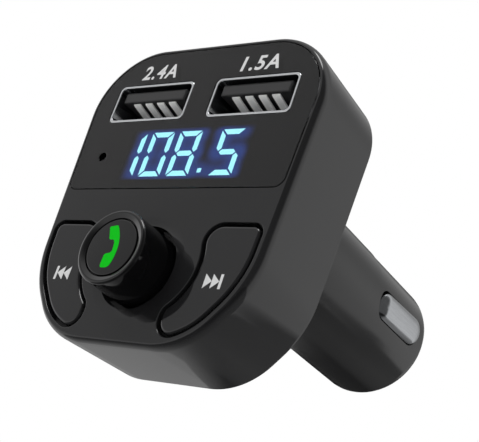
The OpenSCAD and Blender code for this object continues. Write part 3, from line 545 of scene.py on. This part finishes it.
def buildDisplayCase():
    lines = segmentLines()
    low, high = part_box("display_module")
    across, up = [round((high[axis] - low[axis]) / mm / display["cell"]) for axis in (0, 2)]
    bm = bmesh.new()
    grid, paintedGlow = [], []
    for j in range(up + 1):
        row = []
        for i in range(across + 1):
            x, z = low[0] + (high[0] - low[0]) * i / across, low[2] + (high[2] - low[2]) * j / up
            row.append(bm.verts.new((x, low[1] + display["caseIn"] * mm, z)))
            paintedGlow.append(paintedGlowAt(x / mm, z / mm - display["z"], lines))
        grid.append(row)
    for j in range(up):
        for i in range(across):
            bm.faces.new((grid[j][i], grid[j][i + 1], grid[j + 1][i + 1], grid[j + 1][i]))
    rim = grid[0] + [row[-1] for row in grid[1:]] + grid[-1][-2::-1] + [row[0] for row in grid[-2:0:-1]]
    back = [bm.verts.new((v.co.x, high[1], v.co.z)) for v in rim]
    bridge(bm, rim, back)
    bm.faces.new(back)
    paintedGlow += [0.0] * len(back)
    piece = finishPiece("displayCase", bm, caseWithPaintedGlow, "casing", ["display_module"])
    # the painted glow is stored per point for the case's emission
    layer = piece.data.attributes.new("paintedGlow", "FLOAT", "POINT")
    layer.data.foreach_set("value", paintedGlow)


buildDisplayCase()
print("display built")


# ---- charging ports: drawn sheet shells with a polished lip, a tongue in each and sprung contacts
contact = dict(shares=(-0.289, -0.096, 0.096, 0.289), width=1.3, sheet=0.2,
               path=[(-14.3, 0.25), (-14.1, 0.12), (-13.4, -0.02), (-12.6, -0.16), (-11.8, -0.3), (-11.0, -0.42),
                     (-10.2, -0.46), (-9.4, -0.36), (-8.6, -0.14), (-7.9, 0.06), (-7.2, 0.1), (-2.5, 0.1)])


def buildPort(side, name):
    x, z, sheet, flare, lip = side * port["x"], port["z"], port["sheet"], port["flare"], port["lip"]
    innerR = port["mouthR"] - flare / 2
    face, back = head["face"], head["boardFront"]
    shoulderY = face + port["mouthDepth"] + sheet
    bm = bmesh.new()
    # outside: lip, shoulder and tube
    lipRing, shoulder = sweep(bm, portMouth(side), heldRound(-lip, face, 0, face + lip, 3, 0.02)
                              + [(0, shoulderY)], 10)
    tube = boxArcs(x, z, port["holeW"] + 2 * sheet, port["holeH"] + 2 * sheet, port["mouthR"])
    tubeStart, tubeEnd = sweep(bm, tube, [(0, shoulderY), (0, back)], 10)
    bridge(bm, shoulder, tubeStart)
    # inside, the lip tapers to the cable's hole without a ledge
    wide = boxArcs(x, z, port["mouthW"] - 2 * flare, port["mouthH"] - 2 * flare, innerR)
    flareStart, flareEnd = sweep(bm, wide, heldRound(port["innerLip"], face, 0, face + lip, 3, 0.02), 10)
    bridge(bm, lipRing, flareStart)
    hole = boxArcs(x, z, port["holeW"], port["holeH"], innerR)
    holeStart, holeEnd = sweep(bm, hole, [(0, face + port["taperDepth"]), (0, back)], 10)
    bridge(bm, flareEnd, holeStart)
    bridge(bm, holeEnd, tubeEnd)
    finishPiece("portShell" + name, bm, tinPlate, "casing", ["usb_shell_" + name.lower()])

    bm = bmesh.new()
    tongueZ = z + port["tongueRise"] + port["tongueT"] / 2
    tip, tipRound, baseGap = face + port["tongueIn"], port["tipRound"], port["baseGap"]
    baseFront = back - port["baseDepth"]
    tongue = boxArcs(x, tongueZ, port["tongueW"], port["tongueT"], port["tongueR"])
    near, far = sweep(bm, tongue, heldRound(-tipRound, tip, 0, tip + tipRound, 4, 0.02) + [(0, baseFront)], 15)
    fillFlat(bm, near)
    base = boxArcs(x, z, port["holeW"] - 2 * baseGap, port["holeH"] - 2 * baseGap, innerR)
    near, end = sweep(bm, base, [(0, baseFront), (0, back)], 15)
    fillFlat(bm, near, far)
    fillFlat(bm, end)
    finishPiece("portTongue" + name, bm, blackNylon, "casing", ["usb_tongue_" + name.lower()])

    bm = bmesh.new()
    for share in contact["shares"]:
        left = x + share * port["tongueW"] - contact["width"] / 2
        right = left + contact["width"]
        rings = []
        for y, rise in contact["path"]:
            low, high = z + rise, z + rise + contact["sheet"]
            rings.append(layRing(bm, [(left, low), (right, low), (right, high), (left, high)], y))
        for low, high in zip(rings, rings[1:]):
            bridge(bm, low, high)
        bm.faces.new(rings[0])
        bm.faces.new(rings[-1])
    finishPiece("portContacts" + name, bm, mattNickel, "casing", ["usb_contacts_" + name.lower()],
                30)


buildPort(-1, "Left")
buildPort(1, "Right")
print("ports built")


# ---- knob: turned body whose raised rim slopes in to a disc, with a printed handset
def buildKnob():
    z, rim, disc, r, crest, deep = [knob[key] for key in ("z", "rim", "disc", "r", "crest", "rollDeep")]
    cupR, floor = knob["capR"] + knob["capGap"], disc + knob["capT"]
    back, backEdge, (rimIn, rimDeep) = knob["back"], knob["backEdge"], knob["rimEdge"]
    bm = bmesh.new()
    body = [(0, floor), (cupR, floor)] + [(cupR + out, disc + sunk) for out, sunk in knob["cupEdge"]] \
        + [(crest - rimIn, rim + rimDeep)] + rollOut(crest, rim, r, rim + deep, 10) \
        + [(r, back - backEdge), (r - backEdge, back), (0, back)]
    turnedSkin(bm, body, (0, z), 120)
    finishPiece("knobBody", bm, knobAbs, "knob", ["knob"], 30)
    bm = bmesh.new()
    capR = knob["capR"]
    turnedSkin(bm, [(0, disc)] + [(capR - inset, disc + sunk) for inset, sunk in knob["capEdge"]]
               + [(capR, floor), (0, floor)], (0, z), 96)
    finishPiece("knobDisc", bm, knobAbs, "knob", ["knob_cap"], 40)


buildKnob()


# ---- handset mark: each corner is a place and how far its rounding reaches along both sides
ink = dict(proud=0.02, sunk=0.02)  # every mark stands out this much and is rooted this deep
handset = dict(lean=8.0, rise=0.05, outer=5.7, back=1.14, thick=0.79, outerSpan=(2.5, -2.4),
               innerSpan=(-0.62, 0.7), neckHead=(0.1, 1.0, 0.22), neckFoot=(0.1, -0.92, 0.22),
               head=[(-0.62, 1.03, 0.35), (-1.07, 2.98, 0.25), (0.3, 3.04, 0.3)],
               foot=[(0.32, -2.98, 0.55), (-1.16, -2.88, 0.5), (-0.86, -0.95, 0.4)])


def roundedLoop(corners):
    points = []
    for i, (x, z, reach) in enumerate(corners):
        here = Vector((x, z))
        before, after = [(Vector(corners[j % len(corners)][:2]) - here).normalized() * reach
                         for j in (i - 1, i + 1)]
        if reach:
            for j in range(7):
                t = j / 6
                points.append(here + before * (1 - t) ** 2 + after * t ** 2)
        else:
            points.append(here)
    return points


def buildHandset():
    centre = handset["back"] - handset["outer"]

    def curve(r, z0, z1):  # the handle's side, without rounding at its points
        heights = [z0 + (z1 - z0) * i / 14 for i in range(15)]
        return [(centre + math.sqrt(r * r - z * z), z, 0) for z in heights]

    corners = handset["head"] + curve(handset["outer"], *handset["outerSpan"]) + handset["foot"] \
        + [handset["neckFoot"]] + curve(handset["outer"] - handset["thick"], *handset["innerSpan"]) \
        + [handset["neckHead"]]
    lean = Matrix.Rotation(math.radians(handset["lean"]), 2)
    points = [lean @ p + Vector((0, knob["z"] + handset["rise"])) for p in roundedLoop(corners)]
    bm = bmesh.new()
    top = layRing(bm, points, knob["disc"] - ink["proud"])
    low = layRing(bm, points, knob["disc"] + ink["sunk"])
    bridge(bm, top, low)
    fillFlat(bm, top)
    fillFlat(bm, low)
    finishPiece("handsetMark", bm, greenInk, "knob", ["phone_symbol"])


buildHandset()
print("knob built")


# ---- buttons: caps with rolled edges, and a printed skip mark on each
mark = dict(x=13.1, z=-17.95, width=2.76, height=2.0, bar=0.15)


def buildButton(arcs, name, side):
    bm = bmesh.new()
    face, edge = head["face"], button["edge"]
    capBack = face + button["capT"]
    coreIn, coreBack = button["coreIn"], face + button["coreT"]
    near, far = sweep(bm, arcs, heldRound(-edge, face, 0, face + edge)
                      + [(0, capBack), (-coreIn, capBack), (-coreIn, coreBack)])
    fillFlat(bm, near)
    fillFlat(bm, far)
    finishPiece(name + "Button", bm, shellAbs, name, [name + "_button"])
    bm = bmesh.new()
    w, h, bar = mark["width"], mark["height"] / 2, mark["width"] * mark["bar"]
    arrow = (w - bar) / 2
    shapes = [[(0, -h), (arrow, 0), (0, h)], [(arrow, -h), (2 * arrow, 0), (arrow, h)],
              [(2 * arrow, -h), (w, -h), (w, h), (2 * arrow, h)]]
    for shape in shapes:
        points = [(side * (mark["x"] - w / 2 + px), mark["z"] + pz) for px, pz in shape]
        top, low = layRing(bm, points, face - ink["proud"]), layRing(bm, points, face + ink["sunk"])
        bridge(bm, top, low)
        bm.faces.new(top)
        bm.faces.new(low)
    finishPiece(name + "Mark", bm, whiteInk, name, [name + "_symbol"])


buildButton(rightButton, "next", 1)
buildButton(leftButton, "previous", -1)
print("buttons built")


# ---- rear housing: back plate and barrel, with a racetrack slot on each side
barrel = dict(r=10.4, slimR=10.3, shankEnd=28.1, step=0.1, length=47.2, boreR=8.8, noseRound=2.5, noseWall=1.5,
              bushR=5.0, edge=0.15, plateGap=0.1, slotStart=28.4, slotLen=14.6, slotW=5.0, cutFrom=7.0, cutTo=12.0,
              root=[(10.75, 0), (10.55, 0.05), (10.4, 0.22), (10.4, 14)])  # its fillet on the plate


def racetrack(length, width, start, grow=0.0, steps=12):  # points (y, z), anticlockwise seen from +X
    r = width / 2 + grow
    ends = [(start + length - width / 2, -90), (start + width / 2, 90)]
    return [(y + r * math.cos(math.radians(a + 180 * i / steps)), r * math.sin(math.radians(a + 180 * i / steps)))
            for y, a in ends for i in range(steps + 1)]


def cutSlot(piece, side):  # a racetrack block is taken out of the barrel, then the block goes
    bm = bmesh.new()
    track = racetrack(barrel["slotLen"], barrel["slotW"], barrel["slotStart"])
    ends = [[bm.verts.new((side * x * mm, y * mm, z * mm)) for y, z in track]
            for x in (barrel["cutFrom"], barrel["cutTo"])]
    bridge(bm, *ends)
    for end in ends:
        bm.faces.new(end)
    bmesh.ops.remove_doubles(bm, verts=bm.verts, dist=1e-7)
    bmesh.ops.recalc_face_normals(bm, faces=bm.faces)
    cutter = linkMesh("slotCutter", bm)
    cut = piece.modifiers.new("slot", "BOOLEAN")
    cut.object, cut.operation, cut.solver = cutter, "DIFFERENCE", "EXACT"
    bpy.context.view_layer.update()
    shaped = bpy.data.meshes.new_from_object(piece.evaluated_get(bpy.context.evaluated_depsgraph_get()))
    piece.modifiers.remove(cut)
    piece.data = shaped
    bpy.data.objects.remove(cutter)


def buildRearHousing():
    bm = bmesh.new()
    inset, plateFront, edge = head["wallIn"] + barrel["plateGap"], head["plateFront"], barrel["edge"]
    outer, inner = sweep(bm, headArcs, [(-inset - edge, 0), (-inset, -edge), (-inset, plateFront)], 4)
    slim, length, noseRound = barrel["slimR"], barrel["length"], barrel["noseRound"]
    wallBack, bush, bore = length - barrel["noseWall"], barrel["bushR"], barrel["boreR"]
    profile = barrel["root"] + [(barrel["r"], barrel["shankEnd"]), (slim, barrel["shankEnd"] + barrel["step"])] \
        + rollIn(slim, length - noseRound, slim - noseRound, length, 8) \
        + [(bush + edge, length), (bush, length - edge), (bush, wallBack), (bore, wallBack), (bore, plateFront)]
    shankRing, boreRing = turnedSkin(bm, profile, steps=120)
    fillFlat(bm, outer, shankRing)
    fillFlat(bm, inner, boreRing)
    piece = finishPiece("rearHousing", bm, plugAbs, "casing", ["rear_housing"])
    for side in (-1, 1):
        cutSlot(piece, side)
    smoothBelow(piece.data, 38)


buildRearHousing()
print("rear housing built")


# ---- ground contacts: pressed nickel pads, crowned, that rise towards the nose
ground = dict(start=29.0, length=13.7, ramp=2.4, rampDrop=1.9, width=4.8, out=0.8, root=24.4, padEnd=40.6,
              lipX=7.643, sheet=0.4, lip=0.4, ridge=0.04, crown=1.3, crownSpread=0.6, crownFall=1.15, leaf=1.5,
              leafStart=21.4, leafEnd=30.6, footX=5.6, footZ=0.7)


def padRise(y):  # how far out the pad's crest is
    climb = min(1.0, max(0.0, (y - ground["start"]) / ground["ramp"]))
    outward = ground["out"] * (y - ground["root"]) / (ground["padEnd"] - ground["root"])
    return barrel["r"] + outward - ground["rampDrop"] * (1 - climb) ** 2


def buildGround(side, name):
    bm = bmesh.new()
    start, length, width = ground["start"], ground["length"], ground["width"]
    inner, outer, reach = ground["lipX"], ground["lipX"] + ground["sheet"], (width - ground["ridge"]) / 2
    rings = []
    for i in range(11):  # from the middle line out and down to the flange
        a = math.pi / 2 * i / 10
        inset = reach * (1 - math.sin(a) ** ground["crownSpread"])
        drop = ground["crown"] * (1 - math.cos(a)) ** ground["crownFall"]
        rings.append([(padRise(y) - drop, y, z) for y, z in racetrack(length, width, start, -inset, 16)])
    for x, grow in ((outer, 0), (outer, ground["lip"]), (inner, ground["lip"])):
        rings.append([(x, y, z) for y, z in racetrack(length, width, start, grow, 16)])
    skins = [[bm.verts.new((side * x * mm, y * mm, z * mm)) for x, y, z in ring] for ring in rings]
    for low, high in zip(skins, skins[1:]):
        bridge(bm, low, high)
    bm.faces.new(skins[0])
    bm.faces.new(skins[-1])
    # leaf and foot, as folded strip
    leaf, leafStart, footZ = ground["leaf"], ground["leafStart"], ground["footZ"]
    for spans in [((inner, outer), (leafStart, ground["leafEnd"]), (-leaf, leaf)),
                  ((ground["footX"], outer), (leafStart, ground["root"]), (footZ, footZ + ground["sheet"]))]:
        for v in bmesh.ops.create_cube(bm, size=1)["verts"]:
            x, y, z = [low + (high - low) * (v.co[axis] + 0.5) for axis, (low, high) in enumerate(spans)]
            v.co = Vector((side * x, y, z)) * mm
    finishPiece("groundContact" + name, bm, nickelPlate, "ground_" + name.lower(),
                ["ground_contact_" + name.lower()], 45)


buildGround(1, "Right")
buildGround(-1, "Left")


# ---- nose: brass bush, centre contact and its coil spring
nose = dict(bushR=4.95, bushStart=42.7, bushEnd=47.6, bushEdge=[(0, 0.15), (0.05, 0.04), (0.15, 0)],
            pinHole=3.25, mouthEdge=[(0.2, 0), (0.06, 0.05), (0, 0.2)], pinR=3.2, pinEnd=52.2, dome=1.9,
            flangeR=4.7, flangeStart=41.6, flangeT=1.0, coilR=4.1, wire=0.3, springStart=31.2, turns=6, closed=0.8,
            keep=0.81)


def coilRise(turned):  # place of the wire along the plug, after this many turns
    wire, turns, closed = nose["wire"], nose["turns"], nose["closed"]
    first, last = nose["springStart"] + wire, nose["flangeStart"] - wire
    # the first and last turns lie closed, as on a coil that has been set
    lead = max(0.0, min(1.0, (turned - closed) / (turns - 2 * closed)))
    shut = min(turned, closed) + max(0.0, turned - (turns - closed))
    return min(last, first + 2 * wire * shut + (last - first - 4 * wire * closed) * lead)


def buildNose():
    bm = bmesh.new()
    r, start, end, hole = nose["bushR"], nose["bushStart"], nose["bushEnd"], nose["pinHole"]
    turnedSkin(bm, [(hole, start), (r, start)] + [(r - inset, end - deep) for inset, deep in nose["bushEdge"]]
               + [(hole + out, end - deep) for out, deep in nose["mouthEdge"]] + [(hole, start)])
    bmesh.ops.remove_doubles(bm, verts=bm.verts, dist=1e-8)
    finishPiece("noseBush", bm, turnedBrass, "casing", ["nose_ring"], 40)

    bm = bmesh.new()
    r, tip, back, flange, high = [nose[key] for key in ("pinR", "pinEnd", "flangeStart", "flangeR", "dome")]
    front = back + nose["flangeT"]
    turnedSkin(bm, [(0, back), (flange, back), (flange, front), (r, front)] + rollIn(r, tip - high, 0, tip, 12))
    finishPiece("centreContact", bm, nickelPlate, "tip", ["tip_contact"], 50)

    bm = bmesh.new()
    turnSteps, sides = 36, 10
    steps = nose["turns"] * turnSteps
    rings = []
    for i in range(steps + 1):
        turned = nose["turns"] * i / steps
        y, a = coilRise(turned), 2 * math.pi * turned
        ring = []
        for j in range(sides):
            b = 2 * math.pi * j / sides
            r, up = nose["coilR"] + nose["wire"] * math.cos(b), nose["wire"] * math.sin(b)
            ring.append(bm.verts.new((r * math.cos(a) * mm, (y + up) * mm, r * math.sin(a) * mm)))
        rings.append(ring)
    for low, high in zip(rings, rings[1:]):
        bridge(bm, low, high)
    bm.faces.new(rings[0])
    bm.faces.new(rings[-1])
    spring = finishPiece("contactSpring", bm, nickelPlate, "casing", ["tip_spring"], 60)
    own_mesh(spring)


buildNose()
print("plug's contacts built")


# ---- printed current figures above the ports, in plain slanted letters
labels = dict(low=13.85, high=16.3, lift=0.002, slant=0.14, bolder=0.022, spread=1.15,
              left=("2.4A", -12.7, -6.2), right=("1.5A", 5.4, 11.9))


def buildLabel(name, words, x0, x1):
    font = bpy.data.curves.new(name, "FONT")
    font.body, font.shear, font.offset, font.extrude = words, labels["slant"], labels["bolder"], ink["proud"]
    font.space_character, font.resolution_u = labels["spread"], 6
    draft = bpy.data.objects.new(name + "Draft", font)
    bpy.context.scene.collection.objects.link(draft)
    bpy.context.view_layer.update()
    mesh = bpy.data.meshes.new_from_object(draft.evaluated_get(bpy.context.evaluated_depsgraph_get()))
    bpy.data.objects.remove(draft)
    xs, ys = [v.co.x for v in mesh.vertices], [v.co.y for v in mesh.vertices]
    wide, high = (x1 - x0) / (max(xs) - min(xs)), (labels["high"] - labels["low"]) / (max(ys) - min(ys))
    for v in mesh.vertices:
        proud = ink["proud"] if v.co.z > 0 else labels["lift"]
        v.co = Vector((x0 + wide * (v.co.x - min(xs)), head["face"] - proud,
                       labels["low"] + high * (v.co.y - min(ys)))) * mm
    bm = bmesh.new()
    bm.from_mesh(mesh)
    bpy.data.meshes.remove(mesh)
    finishPiece(name, bm, whiteInk, "casing", ())


buildLabel("leftLabel", *labels["left"])
buildLabel("rightLabel", *labels["right"])
print("labels built")


# ---- carried-over CAD nodes get their own finish
finishes = {
    "microphone_boot": bootRubber, "main_board": boardGreen, "power_board": boardGreen, "board_header": chipEpoxy,
    "encoder_body": chipEpoxy, "encoder_plunger": naturalNylon, "encoder_shaft": nickelPlate,
    "previous_switch": chipEpoxy, "next_switch": chipEpoxy, "previous_stem": naturalNylon,
    "next_stem": naturalNylon, "radio_chip": chipEpoxy, "power_inductor": chipEpoxy, "converter_chip": chipEpoxy,
    "board_screws": nickelPlate, "spring_cup": turnedBrass, "display_digits": digitLight, "microphone": tinPlate,
    "encoder_bracket": tinPlate, "crystal": tinPlate, "power_capacitors": tinPlate,
}
for nodeName, material in finishes.items():
    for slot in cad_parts[nodeName].material_slots:
        slot.link = "OBJECT"
        slot.material = material
print("carried-over pieces finished")


# ---- studio: camera, soft light and a plain pale floor far below
view = dict(place=(92.66, -107.65, -59.52), right=(0.80107, 0.52033, 0.29589), down=(0.01072, 0.48177, -0.87623),
            ahead=(-0.59848, 0.70509, 0.38036), lensLength=79.3, sensor=36.0)
camera = bpy.data.objects.new("photoCamera", bpy.data.cameras.new("photoCamera"))
bpy.context.scene.collection.objects.link(camera)
turn = Matrix([view["right"], [-c for c in view["down"]], [-c for c in view["ahead"]]]).transposed()
camera.matrix_world = Matrix.Translation(Vector(view["place"]) * mm) @ turn.to_4x4()
camera.data.lens, camera.data.sensor_width = view["lensLength"], view["sensor"]
camera.data.clip_start, camera.data.clip_end = 0.005, 50
bpy.context.scene.camera = camera

# Shades and soft boxes are round patches that the glossy plastic mirrors: the direction to the
# middle, the cosines of the angles where the patch starts and is full, and its tone.
studio = dict(floor=-0.26, floorSize=6.0, ambient=0.62,
              lamps=[("keyLamp", (-0.35, -0.5, 0.55), 0.5, 3.0), ("fillLamp", (0.66, -0.77, -0.43), 0.3, 3.0)],
              shades=[((0.74, -0.66, 0.12), 0.35, 0.7, 0.15),  # a dark flag to the right of the camera
                      ((-0.45, 0.75, 0.48), 0.40, 0.80, 0.46),  # the room away from the camera
                      ((-0.598, 0.705, 0.38), 0.9, 0.985, 0.2),  # what is straight behind the part
                      ((-0.60, -0.72, 0.35), 0.90, 0.985, 0.62)],  # the wall that the face mirrors
              softBoxes=[((0.07, -0.29, 0.95), 0.965, 0.985, 7.0),  # overhead
                         ((-0.98, -0.05, 0.13), 0.88, 0.95, 0.45)])  # at the left

# The floor's edge in reflections, as heights over the horizon at places across and ahead: each
# entry has the two places, then the heights or tones there.
floorEdge = dict(across=(0.44, 0.56, -0.47, -0.32), ahead=(0.775, 0.83, 0.0, 0.176), soft=0.02,
                 cornerAcross=(0.1, -0.3, 0.0, 0.7), cornerAhead=(0.76, 0.79, 0.0, 1.0), cornerTone=0.15,
                 toneAcross=(0.1, -0.6, 0.32, 0.70), toneAhead=(-0.4, 0.5, 0.3, 1.0))


def addLamp(name, place, size, power):
    lamp = bpy.data.lights.new(name, "AREA")
    lamp.shape, lamp.size, lamp.energy = "DISK", size, power
    holder = bpy.data.objects.new(name, lamp)
    bpy.context.scene.collection.objects.link(holder)
    holder.location = place
    holder.rotation_euler = (-Vector(place)).to_track_quat("-Z", "Y").to_euler()
    holder.visible_glossy = holder.visible_transmission = False


for lampValues in studio["lamps"]:
    addLamp(*lampValues)


def buildWorld():
    world = bpy.data.worlds.new("paleStudio")
    bpy.context.scene.world = world
    world.use_nodes = True
    tree = world.node_tree
    tree.nodes.clear()
    way = addNode(tree, "ShaderNodeTexCoord").outputs["Generated"]
    across, ahead, height = addNode(tree, "ShaderNodeSeparateXYZ", {"Vector": way}).outputs

    def combine(operation, a, b):
        return addNode(tree, "ShaderNodeMath", {0: a, 1: b}, operation=operation).outputs["Value"]

    def blend(factor, a, b):
        return addNode(tree, "ShaderNodeMix", {"Factor": factor, "A": a, "B": b},
                       data_type="FLOAT").outputs["Result"]

    def ramp(value, key, kind="LINEAR"):
        start, end, low, high = floorEdge[key]
        return addRange(tree, value, low, high, start, end, kind)

    def patch(aim, start, full, outside, inside):
        toward = addNode(tree, "ShaderNodeVectorMath", {0: way, 1: aim}, operation="DOT_PRODUCT").outputs["Value"]
        return addRange(tree, toward, outside, inside, start, full, "SMOOTHSTEP")

    # the floor is lighter to the left and ahead, and its edge stands higher behind the plug
    corner = combine("MULTIPLY", ramp(across, "cornerAcross"), ramp(ahead, "cornerAhead"))
    edge = combine("ADD", corner, combine("ADD", ramp(across, "across"), ramp(ahead, "ahead")))
    soft, lift = floorEdge["soft"], floorEdge["cornerAcross"][3]
    below = addRange(tree, combine("SUBTRACT", height, edge), 0.0, 1.0, soft, -soft)
    sideTone = combine("MULTIPLY", ramp(across, "toneAcross", "SMOOTHSTEP"),
                       addRange(tree, corner, 1.0, floorEdge["cornerTone"], 0.0, lift))
    floorTone = combine("MULTIPLY", sideTone, ramp(ahead, "toneAhead", "SMOOTHSTEP"))
    seen = blend(below, 1.0, floorTone)
    for aim, start, full, tone in studio["shades"]:
        seen = combine("MULTIPLY", seen, patch(aim, start, full, 1.0, tone))
    for aim, start, full, gain in studio["softBoxes"]:
        seen = combine("ADD", seen, patch(aim, start, full, 0.0, gain))
    # glossy rays see all that, the camera sees plain white and the rest get an even light
    rays = addNode(tree, "ShaderNodeLightPath").outputs
    clear = combine("MAXIMUM", rays["Is Camera Ray"], rays["Is Transmission Ray"])
    strength = blend(clear, blend(rays["Is Glossy Ray"], studio["ambient"], seen), 1.0)
    light = addNode(tree, "ShaderNodeBackground", {"Color": (1, 1, 1, 1), "Strength": strength})
    addNode(tree, "ShaderNodeOutputWorld", {"Surface": light.outputs["Background"]})


buildWorld()


def buildFloor():
    bm = bmesh.new()
    half = studio["floorSize"] / 2
    bm.faces.new([bm.verts.new((sx * half, sy * half, studio["floor"]))
                  for sx, sy in ((-1, -1), (1, -1), (1, 1), (-1, 1))])
    floor = linkMesh("studioFloor", bm)
    floor.data.materials.append(floorPaper())


buildFloor()
bpy.context.scene.view_settings.view_transform = "Standard"
print("studio set")

bpy.context.view_layer.update()
